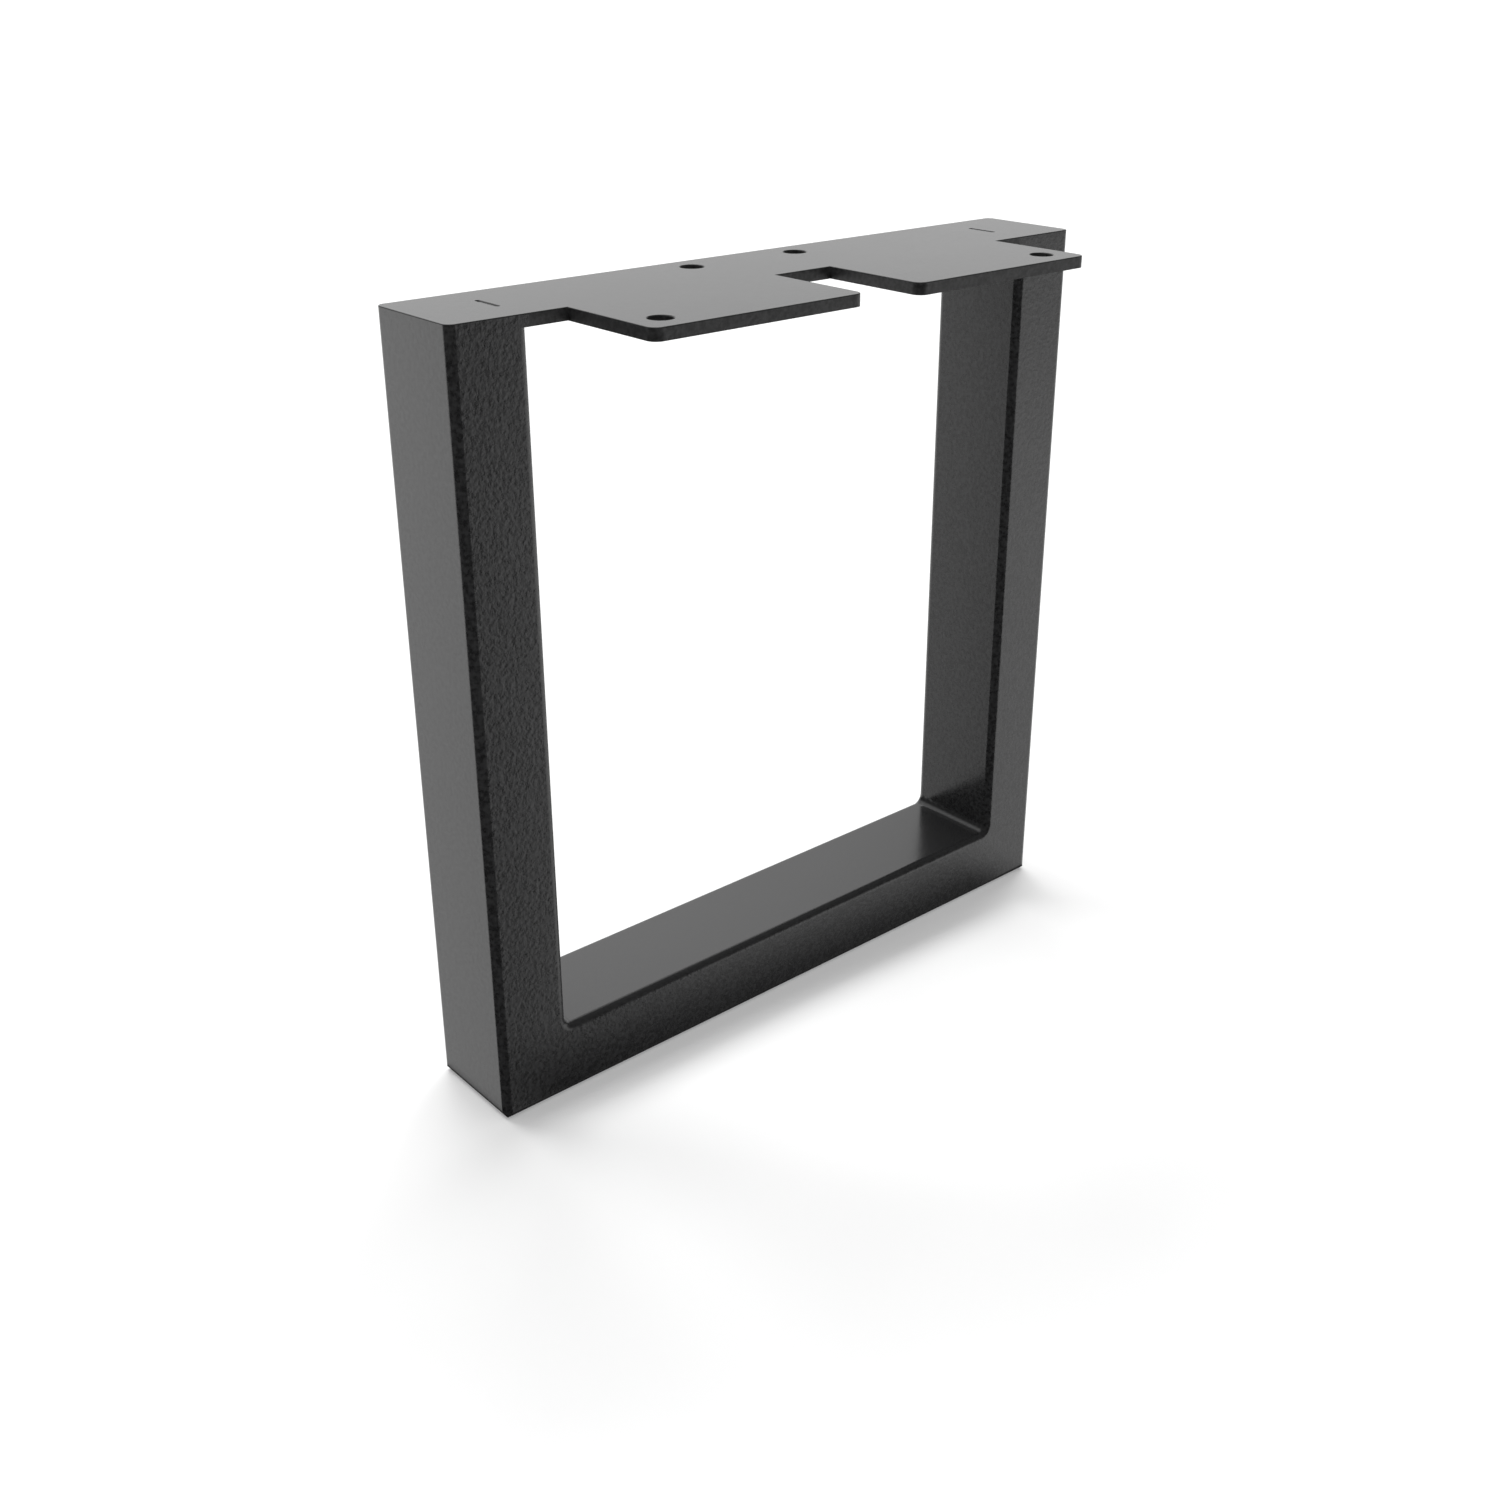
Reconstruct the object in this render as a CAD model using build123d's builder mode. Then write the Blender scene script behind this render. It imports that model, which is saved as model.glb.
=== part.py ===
"""Welded steel U-frame furniture leg: two uprights and a foot rail of rectangular tube under a flat plate.

Millimetres. The origin lies on the floor under the middle of the foot rail. +X runs along the rail,
-Y is the side to which the plate's two tabs reach out, and +Z is up.
"""
import os

from build123d import *

os.makedirs("parts", exist_ok=True)

# Whole leg
frame_width = 400  # outside of one upright to the outside of the other
frame_height = 406  # floor to the top of the mounting plate

# Rectangular tube of the uprights and the foot rail
tube_depth = 60  # front face to back face
tube_face = 40  # width of an upright and height of the foot rail
tube_wall = 2
tube_corner = 4  # outside corner radius
least_bore_corner = 0.5  # the bore's corners stay at least this round
mitre_edge_round = 5  # outer edge of the welded mitres, ground over
most_walls_round = 3  # that edge is at most this many walls round, so that grinding leaves the tube closed

# Welds
corner_weld_radius = 5  # hollow face of the bead in each inner corner
weld_slot_length = 18
weld_slot_width = 2
plug_weld_sink = 0.5  # plug weld's surface below the plate's top

# Mounting plate
plate_thickness = 6
plate_edge_round = 0.5  # top edge of the outline
rim_chamfer = 0.4  # top rims of the holes and slots
tab_width = 121
tab_reach = 61.5  # past the front face of the tubes
notch_width = 36  # between the two tabs
tab_corner = 5  # front corners of the tabs and inner corners beside them
bolt_hole = 12  # diameter
bolt_inset = 16  # front holes from the tabs' edges, back holes from the back edge and the notch's sides

# Places that follow from those sizes
plate_underside = frame_height - plate_thickness
tube_front = -tube_depth / 2
tube_back = tube_depth / 2
tube_bore_corner = max(tube_corner - tube_wall, least_bore_corner)
ground_edge_round = min(mitre_edge_round, most_walls_round * tube_wall)
upright_centre = (frame_width - tube_face) / 2
upright_inner_face = upright_centre - tube_face / 2
weld_slot_centre = upright_inner_face + tube_wall / 2
tab_front = tube_front - tab_reach
tab_centre = (notch_width + tab_width) / 2
front_bolt_x = notch_width / 2 + tab_width - bolt_inset
front_bolt_y = tab_front + bolt_inset
back_bolt_x = notch_width / 2 + bolt_inset
back_bolt_y = tube_back - bolt_inset

sides = {"left": -1, "right": 1}


def upright_plane(side, height):
    """Level plane across an upright's middle line."""
    return Plane(origin=(side * upright_centre, 0, height))


def rail_plane():
    """Plane across the foot rail at its middle, with the tube's narrow side along the plane's own X."""
    return Plane(origin=(0, 0, tube_face / 2), x_dir=(0, 0, 1), z_dir=(1, 0, 0))


def mitre_plane(side):
    """Slanted plane from the outer bottom edge up to the inner corner, facing the upright."""
    return Plane(origin=(side * frame_width / 2, 0, 0), x_dir=(0, 1, 0), z_dir=(side, 0, 1))


def tube_outside():
    """Outline of the tube with its rounded corners."""
    return RectangleRounded(tube_face, tube_depth, tube_corner)


def tube_bore():
    """Hollow of the tube, one wall inside its outline."""
    bore_face = tube_face - 2 * tube_wall
    bore_depth = tube_depth - 2 * tube_wall
    return RectangleRounded(bore_face, bore_depth, tube_bore_corner, mode=Mode.SUBTRACT)


def grind_mitre_edges():
    """Keeps what lies inside the frame's front outline, whose two bottom corners are ground round."""
    with BuildSketch(Plane.XZ) as front_outline:
        Rectangle(frame_width, plate_underside, align=(Align.CENTER, Align.MIN))
        fillet(front_outline.vertices().group_by(Axis.Y)[0], ground_edge_round)
    return extrude(front_outline.sketch, amount=tube_depth, both=True, mode=Mode.INTERSECT)


# Uprights: tube cut square under the plate and mitred at the foot
for side_name, side in sides.items():
    with BuildPart() as upright:
        with BuildSketch(upright_plane(side, 0)):
            tube_outside()
            tube_bore()
        extrude(amount=plate_underside)
        split(bisect_by=mitre_plane(side), keep=Keep.TOP)
        grind_mitre_edges()
    upright.part.label = f"{side_name}_upright"
    export_step(upright.part, f"parts/{side_name}_upright.step")

# Foot rail: the same tube lying on the floor, mitred at both ends
with BuildPart() as foot_rail:
    with BuildSketch(rail_plane()):
        tube_outside()
        tube_bore()
    extrude(amount=frame_width / 2, both=True)
    for side in sides.values():
        split(bisect_by=mitre_plane(side), keep=Keep.BOTTOM)
    grind_mitre_edges()
foot_rail.part.label = "foot_rail"
export_step(foot_rail.part, "parts/foot_rail.step")

# Inner corner welds: what a smooth bend of the tube's outline fills beyond the two straight tubes
for side_name, side in sides.items():
    bend_height = tube_face + corner_weld_radius
    bend_axis = Axis((side * (upright_inner_face - corner_weld_radius), 0, bend_height), (0, side, 0))
    with BuildPart() as corner_weld:
        with BuildSketch(upright_plane(side, bend_height)):
            tube_outside()
        revolve(axis=bend_axis, revolution_arc=90)
        with BuildSketch(upright_plane(side, 0)):
            tube_outside()
        extrude(amount=plate_underside, mode=Mode.SUBTRACT)
        with BuildSketch(rail_plane()):
            tube_outside()
        extrude(amount=frame_width, both=True, mode=Mode.SUBTRACT)
    corner_weld.part.label = f"{side_name}_corner_weld"
    export_step(corner_weld.part, f"parts/{side_name}_corner_weld.step")

# Mounting plate: strip over the tubes with two tabs, cut from flat plate
with BuildPart() as mounting_plate:
    with BuildSketch(Plane.XY.offset(plate_underside)) as plate_outline:
        RectangleRounded(frame_width, tube_depth, tube_corner)
        with Locations((-tab_centre, tab_front), (tab_centre, tab_front)):
            Rectangle(tab_width, tab_reach + tube_depth / 2, align=(Align.CENTER, Align.MIN))
        fillet(plate_outline.vertices().group_by(Axis.Y)[0], tab_corner)
        strip_front = plate_outline.vertices().filter_by_position(Axis.Y, tube_front, tube_front)
        fillet(strip_front.sort_by(Axis.X)[1:-1], tab_corner)
        with Locations((-front_bolt_x, front_bolt_y), (front_bolt_x, front_bolt_y)):
            Circle(bolt_hole / 2, mode=Mode.SUBTRACT)
        with Locations((-back_bolt_x, back_bolt_y), (back_bolt_x, back_bolt_y)):
            Circle(bolt_hole / 2, mode=Mode.SUBTRACT)
        with Locations((-weld_slot_centre, 0), (weld_slot_centre, 0)):
            SlotOverall(weld_slot_length, weld_slot_width, rotation=90, mode=Mode.SUBTRACT)
    extrude(amount=plate_thickness)
    rims = mounting_plate.faces().sort_by(Axis.Z)[-1].inner_wires()
    chamfer([edge for rim in rims for edge in rim.edges()], rim_chamfer)
    fillet(mounting_plate.faces().sort_by(Axis.Z)[-1].outer_wire().edges(), plate_edge_round)
mounting_plate.part.label = "mounting_plate"
export_step(mounting_plate.part, "parts/mounting_plate.step")

# Plug welds: weld metal in the plate's slots, on the end of each upright's inner wall
for side_name, side in sides.items():
    with BuildPart() as plug_weld:
        with BuildSketch(Plane(origin=(side * weld_slot_centre, 0, plate_underside))):
            SlotOverall(weld_slot_length, weld_slot_width, rotation=90)
        extrude(amount=plate_thickness - plug_weld_sink)
    plug_weld.part.label = f"{side_name}_plug_weld"
    export_step(plug_weld.part, f"parts/{side_name}_plug_weld.step")
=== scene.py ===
"""Looks of a welded steel U-frame furniture leg in black powder coat, standing on white paper in a studio."""
import math

import bpy
import numpy as np
from mathutils import Matrix, Vector


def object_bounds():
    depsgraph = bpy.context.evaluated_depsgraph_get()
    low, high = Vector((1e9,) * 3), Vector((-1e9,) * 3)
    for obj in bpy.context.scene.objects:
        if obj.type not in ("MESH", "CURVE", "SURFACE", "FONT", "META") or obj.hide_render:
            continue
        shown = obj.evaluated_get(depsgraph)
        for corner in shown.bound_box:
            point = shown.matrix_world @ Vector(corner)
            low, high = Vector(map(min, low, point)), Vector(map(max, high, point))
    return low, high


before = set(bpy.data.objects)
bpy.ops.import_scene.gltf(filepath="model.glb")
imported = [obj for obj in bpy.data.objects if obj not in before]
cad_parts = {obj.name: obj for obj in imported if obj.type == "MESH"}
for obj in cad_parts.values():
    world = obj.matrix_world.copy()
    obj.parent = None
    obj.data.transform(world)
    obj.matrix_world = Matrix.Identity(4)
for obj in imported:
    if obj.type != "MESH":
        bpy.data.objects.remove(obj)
cad_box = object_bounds()

# Uprights and foot rail
# Rectangular steel tube, mitred and welded into a U, ground flush at the joints and powder-coated in one go.
# The coat is black with a satin skin: a fine grain over the slow waves that powder leaves when it melts.


class Wire:
    """A shader socket that takes part in arithmetic: each operation on it adds a Math node to its tree."""

    def __init__(self, tree, socket=None):
        self.tree = tree
        self.socket = socket

    def node(self, kind, settings, inputs, output=0):
        """Adds a node with its settings and its sockets' values or links, and gives one of its outputs."""
        made = self.tree.nodes.new(kind)
        for name, value in settings.items():
            setattr(made, name, value)
        for name, value in inputs.items():
            if isinstance(value, Wire):
                self.tree.links.new(value.socket, made.inputs[name])
            else:
                made.inputs[name].default_value = value
        return Wire(self.tree, made.outputs[output] if made.outputs else None)

    def math(self, operation, first, second=0.0):
        """Adds a Math node on one or two values."""
        return self.node("ShaderNodeMath", {"operation": operation}, {0: first, 1: second})

    def along(self, axis):
        """One of a vector's three numbers."""
        return self.node("ShaderNodeSeparateXYZ", {}, {"Vector": self}, axis)

    def noise(self, place, pitch, detail):
        """Soft lumps about one pitch across, from 0 to 1, with finer layers that weaken by one share each."""
        layer_share = 0.55
        values = {"Vector": place, "Scale": 1 / pitch, "Detail": detail, "Roughness": layer_share}
        return self.node("ShaderNodeTexNoise", {"noise_dimensions": "3D"}, values)

    def __abs__(self):
        return self.math("ABSOLUTE", self)

    def __add__(self, other):
        return self.math("ADD", self, other)

    def __sub__(self, other):
        return self.math("SUBTRACT", self, other)

    def __rsub__(self, other):
        return self.math("SUBTRACT", other, self)

    def __mul__(self, other):
        return self.math("MULTIPLY", self, other)

    __radd__ = __add__
    __rmul__ = __mul__


def facing_share(coat, axis):
    """How squarely a face looks along one axis of the leg, either way: from 0 to 1."""
    return abs(coat.node("ShaderNodeTexCoord", {}, {}, "Normal").along(axis))


def powder_coat(name, wave_height, form=None, matt=None):
    """Black powder coat over a metal surface.

    Two noises make the relief: the grain of the powder and the longer waves of the melted skin, which are
    highest on the front and back faces, where the spray lies thickest. A third noise mottles the black of
    the upright faces in lighter and darker flecks: partly the coat's own uneven black, partly painted glints
    and shade of its fine texture; the level faces are left plain. The waves and slow clouds vary the
    roughness. A form gives the height of what lies under the coat, and a matt what makes it rougher.
    """
    grain_pitch = 0.0007
    grain_height = 0.000012
    wave_pitch = 0.0023
    thin_share = 0.2
    fleck_pitch = 0.0022
    fleck_low = 0.38
    fleck_high = 0.62
    # Two blacks for the flecks: partly the coat's own, partly painted shade (the darker) and painted glints
    # (the lighter).
    dark_fleck_and_shade = (0.0125, 0.0125, 0.0128, 1)
    light_fleck_and_glint = (0.0285, 0.0285, 0.0292, 1)
    cloud_pitch = 0.05
    rough_mean = 0.21
    rough_spread = 0.06
    rough_by_waves = 0.6
    noise_middle = 0.5
    coat_ior = 1.5

    material = bpy.data.materials.new(name)
    material.use_nodes = True
    material.node_tree.nodes.clear()
    coat = Wire(material.node_tree)
    place = coat.node("ShaderNodeTexCoord", {}, {}, "Object")
    grain = coat.noise(place, grain_pitch, detail=2)
    wave = coat.noise(place, wave_pitch, detail=2)
    fleck = coat.noise(place, fleck_pitch, detail=3)
    cloud = coat.noise(place, cloud_pitch, detail=4)

    thickness = thin_share + (1 - thin_share) * facing_share(coat, "Y")
    relief = grain * grain_height + (wave - noise_middle) * thickness * wave_height
    if form:
        relief = relief + form(coat, place)
    bump = coat.node("ShaderNodeBump", {}, {"Height": relief, "Strength": 1, "Distance": 1}, "Normal")

    # Painted in part: the lighter flecks stand in for glints and the darker ones for shade on the coat's fine
    # texture.
    sharper = {"Value": fleck, "From Min": fleck_low, "From Max": fleck_high}
    fleck_swing = coat.node("ShaderNodeMapRange", {}, sharper) - noise_middle
    mottle = noise_middle + fleck_swing * (1 - facing_share(coat, "Z"))
    # A colour mix takes its two colours in sockets 6 and 7 and gives the result in output 2
    blacks = {"Factor": mottle, 6: dark_fleck_and_shade, 7: light_fleck_and_glint}
    colour = coat.node("ShaderNodeMix", {"data_type": "RGBA"}, blacks, 2)

    rough_swing = wave * rough_by_waves + cloud * (1 - rough_by_waves) - noise_middle
    roughness = rough_mean + rough_spread * rough_swing
    if matt:
        roughness = roughness + matt(coat, place)
    skin = {"Base Color": colour, "Roughness": roughness, "IOR": coat_ior, "Normal": bump}
    surface = coat.node("ShaderNodeBsdfPrincipled", {}, skin, "BSDF")
    coat.node("ShaderNodeOutputMaterial", {}, {"Surface": surface})
    return material


def wear(names, material):
    """Gives named pieces one material and no other."""
    for name in names:
        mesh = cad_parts[name].data
        mesh.materials.clear()
        mesh.materials.append(material)


tube_waves = 0.00015
wear(["left_upright", "right_upright", "foot_rail"], powder_coat("coat_on_tube", tube_waves))

# Inner corner welds
# A fillet bead of weld metal in each inner corner of the U, where the upright stands on the rail. It is
# dressed smooth; under the coat faint ripples still run across it.


def bead_ripples(coat, place):
    """Height of the weld ripples: a sine along the bead, its crests pushed to and fro by a slow noise."""
    ripple_pitch = 0.0045
    ripple_height = 0.000012
    sway_pitch = 0.012
    sway = 6.0
    phase = place.along("Y") * (2 * math.pi / ripple_pitch) + sway * coat.noise(place, sway_pitch, detail=1)
    return ripple_height * coat.math("SINE", phase)


weld_waves = 0.0001
wear(["left_corner_weld", "right_corner_weld"], powder_coat("coat_on_weld", weld_waves, bead_ripples))

# Mounting plate
# Flat steel plate cut by laser and welded on top of the uprights. The beam leaves fine upright lines on the
# cut edges, which show faintly through the coat and make it matt; the rolled top is plain.
half_width = cad_box[1][0]
tube_face = 0.04


def cut_lines(coat, place):
    """Height of the laser's lines: noise drawn out along Z, kept to the upright faces."""
    line_pitch = 0.0009
    line_height = 0.00001
    stretch = (1.0, 1.0, 0.03)
    drawn = coat.node("ShaderNodeVectorMath", {"operation": "MULTIPLY"}, {0: place, 1: stretch}, "Vector")
    return line_height * coat.noise(drawn, line_pitch, detail=1) * (1 - facing_share(coat, "Z"))


def cut_matt(coat, place):
    """Extra roughness of the cut edges between the uprights; over the tubes they are ground smooth."""
    most_matt = 0.26
    inner_face = half_width - tube_face
    matt_end = inner_face - 0.0015
    smooth_start = inner_face - 0.0005
    fade = {"From Min": matt_end, "From Max": smooth_start, "To Min": most_matt, "To Max": 0.0}
    matt = coat.node("ShaderNodeMapRange", {}, {"Value": abs(place.along("X")), **fade})
    return matt * (1 - facing_share(coat, "Z"))


wear(["mounting_plate"], powder_coat("coat_on_plate", tube_waves, cut_lines, cut_matt))

# Plug welds
# Weld metal that fills the plate's two slots from below and joins it to the uprights. Left as laid, with a
# lumpy surface a little under the plate's top.


def weld_lumps(coat, place):
    """Height of the lumps on an undressed weld."""
    lump_pitch = 0.0025
    lump_height = 0.00025
    return lump_height * coat.noise(place, lump_pitch, detail=3)


wear(["left_plug_weld", "right_plug_weld"], powder_coat("coat_on_plug_weld", tube_waves, weld_lumps))

# Floor
# A wide sheet of white paper, lit until it is plain white; it still takes the shadow at the leg's foot.
# The coat mirrors the studio's light instead of the paper, but for painted shade: black patches on the paper,
# seen only in the coat's mirror, under the foot and close in front of the rail.
paper_white = (0.8, 0.8, 0.8, 1)
paper_lift = 0.22
half_depth = cad_box[1][1]
shade_black = (0.0, 0.0, 0.0, 1)
rail_shade_centre = Vector((0, -half_depth, 0))
rail_shade_strength = 0.86
rail_shade_along = (half_width - 0.045, half_width + 0.015)
rail_shade_ahead = (0.005, 0.065)
foot_shade_centre = Vector((0, 0, 0))
foot_shade_strength = 0.95
foot_shade_spill = 0.006
foot_shade_along = (half_width, half_width + foot_shade_spill)
foot_shade_ahead = (half_depth, half_depth + foot_shade_spill)
floor_half = 60.0

corners = floor_half * np.array([[-1, -1, 0], [1, -1, 0], [1, 1, 0], [-1, 1, 0]], float)
floor_mesh = bpy.data.meshes.new("paper_floor")
floor_mesh.from_pydata(corners.tolist(), [], [[0, 1, 2, 3]])
floor = bpy.data.objects.new("paper_floor", floor_mesh)
bpy.context.scene.collection.objects.link(floor)

paper = bpy.data.materials.new("white_paper")
paper.use_nodes = True
paper.node_tree.nodes.clear()
sheet = Wire(paper.node_tree)
camera_ray = sheet.node("ShaderNodeLightPath", {}, {}, "Is Camera Ray")
glossy_ray = sheet.node("ShaderNodeLightPath", {}, {}, "Is Glossy Ray")
spot = sheet.node("ShaderNodeTexCoord", {}, {}, "Object")


def shade_round(centre, strength, along, ahead):
    """Share of painted shade round a place: along X and Y it is full up to the first limit and gone at the
    second.
    """
    share = strength
    reach = sheet.node("ShaderNodeVectorMath", {"operation": "SUBTRACT"}, {0: spot, 1: centre}, "Vector")
    for axis, (full, gone) in (("X", along), ("Y", ahead)):
        fall = {"From Min": full, "From Max": gone, "To Min": 1.0, "To Max": 0.0}
        smooth = {"interpolation_type": "SMOOTHSTEP"}
        share = share * sheet.node("ShaderNodeMapRange", smooth, {"Value": abs(reach.along(axis)), **fall})
    return share


rail_shade = shade_round(rail_shade_centre, rail_shade_strength, rail_shade_along, rail_shade_ahead)
foot_shade = shade_round(foot_shade_centre, foot_shade_strength, foot_shade_along, foot_shade_ahead)
shade = sheet.math("MAXIMUM", rail_shade, foot_shade)
white = sheet.node("ShaderNodeBsdfDiffuse", {}, {"Color": paper_white})
lift = sheet.node("ShaderNodeEmission", {}, {"Strength": paper_lift * camera_ray})
lit = sheet.node("ShaderNodeAddShader", {}, {0: white, 1: lift})
# Painted shade: a black sheet that only the coat's mirror sees, standing in for the shade under and before
# the foot rail.
dark = sheet.node("ShaderNodeBsdfDiffuse", {}, {"Color": shade_black})
clear = sheet.node("ShaderNodeBsdfTransparent", {}, {})
mirrored_floor = sheet.node("ShaderNodeMixShader", {}, {"Fac": shade, 1: clear, 2: dark})
seen = sheet.node("ShaderNodeMixShader", {}, {"Fac": glossy_ray, 1: lit, 2: mirrored_floor})
sheet.node("ShaderNodeOutputMaterial", {}, {"Surface": seen})
floor_mesh.materials.append(paper)

# Studio light
# Three soft lamps in an arc above and behind the leg, in a plain room. The coat mirrors a bright backdrop,
# the cloth hung before the lamps and, below the horizon, lit paper that is dark on the camera's side, hazy
# in front and dimmer far away.
view_yaw = math.radians(41.084)
away = Vector((math.sin(view_yaw), math.cos(view_yaw), 0))
white_light = (1, 1, 1, 1)
room_level = 0.52
mirrored_room = 0.1
backdrop_level = 0.9
backdrop_edge = 0.6
backdrop_full = 0.85
mirrored_paper = 1.44
paper_below = 0.98
steep_down = -0.6
slight_down = -0.2
far_start = -0.17
far_end = -0.03
far_dimming = 0.55
dusk_azimuth = -131.1
dusk_dark = math.cos(math.radians(79.2))
dusk_light = math.cos(math.radians(82.2))
haze_azimuth = 150
haze_edge = math.cos(math.radians(60))
haze_full = math.cos(math.radians(25))
haze_low = -0.3
haze_high = -0.16
haze_strength = 0.32
horizon_blur = 0.03
cloth_level = 1.1
cloth_azimuth = 6
cloth_elevation = 52
cloth_edge = math.cos(math.radians(46))
cloth_full = math.cos(math.radians(18))
lamp_elevation = 52
lamp_azimuths = (-13.5, 24.5, 62.5)
lamp_spread = math.radians(24)
lamp_strength = 0.97


def towards(azimuth, elevation):
    """Direction at an azimuth from +Y towards +X and an elevation above the floor, both in degrees."""
    across, above = math.radians(azimuth), math.radians(elevation)
    level = math.cos(above)
    return Vector((math.sin(across) * level, math.cos(across) * level, math.sin(above)))


world = bpy.data.worlds.new("studio")
bpy.context.scene.world = world
world.use_nodes = True
world.node_tree.nodes.clear()
room = Wire(world.node_tree)
direction = room.node("ShaderNodeTexCoord", {}, {}, "Generated")
height = direction.along("Z")
flat = {0: direction, 1: (1, 1, 0)}
plan = room.node("ShaderNodeVectorMath", {"operation": "MULTIPLY"}, flat, "Vector")
bearing = room.node("ShaderNodeVectorMath", {"operation": "NORMALIZE"}, {0: plan}, "Vector")


def share_between(value, none, full):
    """Goes smoothly from 0 to 1 as a value goes from one limit to the other."""
    limits = {"Value": value, "From Min": none, "From Max": full, "To Min": 0.0, "To Max": 1.0}
    return room.node("ShaderNodeMapRange", {"interpolation_type": "SMOOTHSTEP"}, limits)


def nearness_share(way, axis, edge, full):
    """Goes from 0 to 1 as a way comes near an axis, between two cosines."""
    nearness = room.node("ShaderNodeVectorMath", {"operation": "DOT_PRODUCT"}, {0: way, 1: axis}, "Value")
    return share_between(nearness, edge, full)


backdrop = (backdrop_level - mirrored_room) * nearness_share(direction, away, backdrop_edge, backdrop_full)
cloth_axis = towards(cloth_azimuth, cloth_elevation)
cloth = cloth_level * nearness_share(direction, cloth_axis, cloth_edge, cloth_full)
dusk = nearness_share(bearing, towards(dusk_azimuth, 0), dusk_light, dusk_dark)
haze_ahead = nearness_share(bearing, towards(haze_azimuth, 0), haze_edge, haze_full)
haze = haze_strength * haze_ahead * share_between(height, haze_low, haze_high)
far = far_dimming * share_between(height, far_start, far_end)
dimming = {"From Min": steep_down, "From Max": slight_down, "To Min": paper_below, "To Max": mirrored_paper}
paper_level = room.node("ShaderNodeMapRange", {}, {"Value": height, **dimming})
lit_paper = paper_level * (1 - far) * (1 - dusk) * (1 - haze)
above = share_between(height, -horizon_blur, horizon_blur)
mirrored = lit_paper + above * (mirrored_room + backdrop - lit_paper) + cloth
in_mirror = room.node("ShaderNodeLightPath", {}, {}, "Is Glossy Ray")
in_view = room.node("ShaderNodeLightPath", {}, {}, "Is Camera Ray")
level = room_level + in_mirror * (mirrored - room_level) + in_view * (1 - room_level)
surround = room.node("ShaderNodeBackground", {}, {"Color": white_light, "Strength": level})
room.node("ShaderNodeOutputWorld", {}, {"Surface": surround})

for number, azimuth in enumerate(lamp_azimuths, 1):
    lamp = bpy.data.objects.new(f"lamp_{number}", bpy.data.lights.new(f"lamp_{number}", "SUN"))
    lamp.data.energy = lamp_strength
    lamp.data.angle = lamp_spread
    lamp.visible_glossy = False
    lamp.rotation_mode = "QUATERNION"
    lamp.rotation_quaternion = (-towards(azimuth, lamp_elevation)).to_track_quat("-Z", "Y")
    bpy.context.scene.collection.objects.link(lamp)

# Camera
# Stands before the leg's left front corner, a little above the plate, and looks down at the frame. The lens
# is shifted, so that its axis meets the picture a little above and to the right of the middle.
picture_side = 1500
picture_middle = 0.5
focal_pixels = 1702.67
axis_across = 765.2
axis_down = 698.31
sensor_width = 36.0
camera_place = Vector((-0.5663, -0.65136, 0.54974))
camera_pitch = math.radians(23.812)
nearest_seen = 0.01
farthest_seen = 200

camera = bpy.data.objects.new("camera", bpy.data.cameras.new("camera"))
camera.data.sensor_width = sensor_width
camera.data.lens = focal_pixels / picture_side * sensor_width
camera.data.shift_x = picture_middle - axis_across / picture_side
camera.data.shift_y = axis_down / picture_side - picture_middle
camera.data.clip_start = nearest_seen
camera.data.clip_end = farthest_seen
ahead = math.cos(camera_pitch) * away - math.sin(camera_pitch) * Vector((0, 0, 1))
right = Vector((math.cos(view_yaw), -math.sin(view_yaw), 0))
up = right.cross(ahead)
turn = Matrix((right, up, -ahead)).transposed().to_4x4()
camera.matrix_world = Matrix.Translation(camera_place) @ turn
bpy.context.scene.collection.objects.link(camera)
bpy.context.scene.camera = camera
bpy.context.scene.view_settings.view_transform = "Standard"
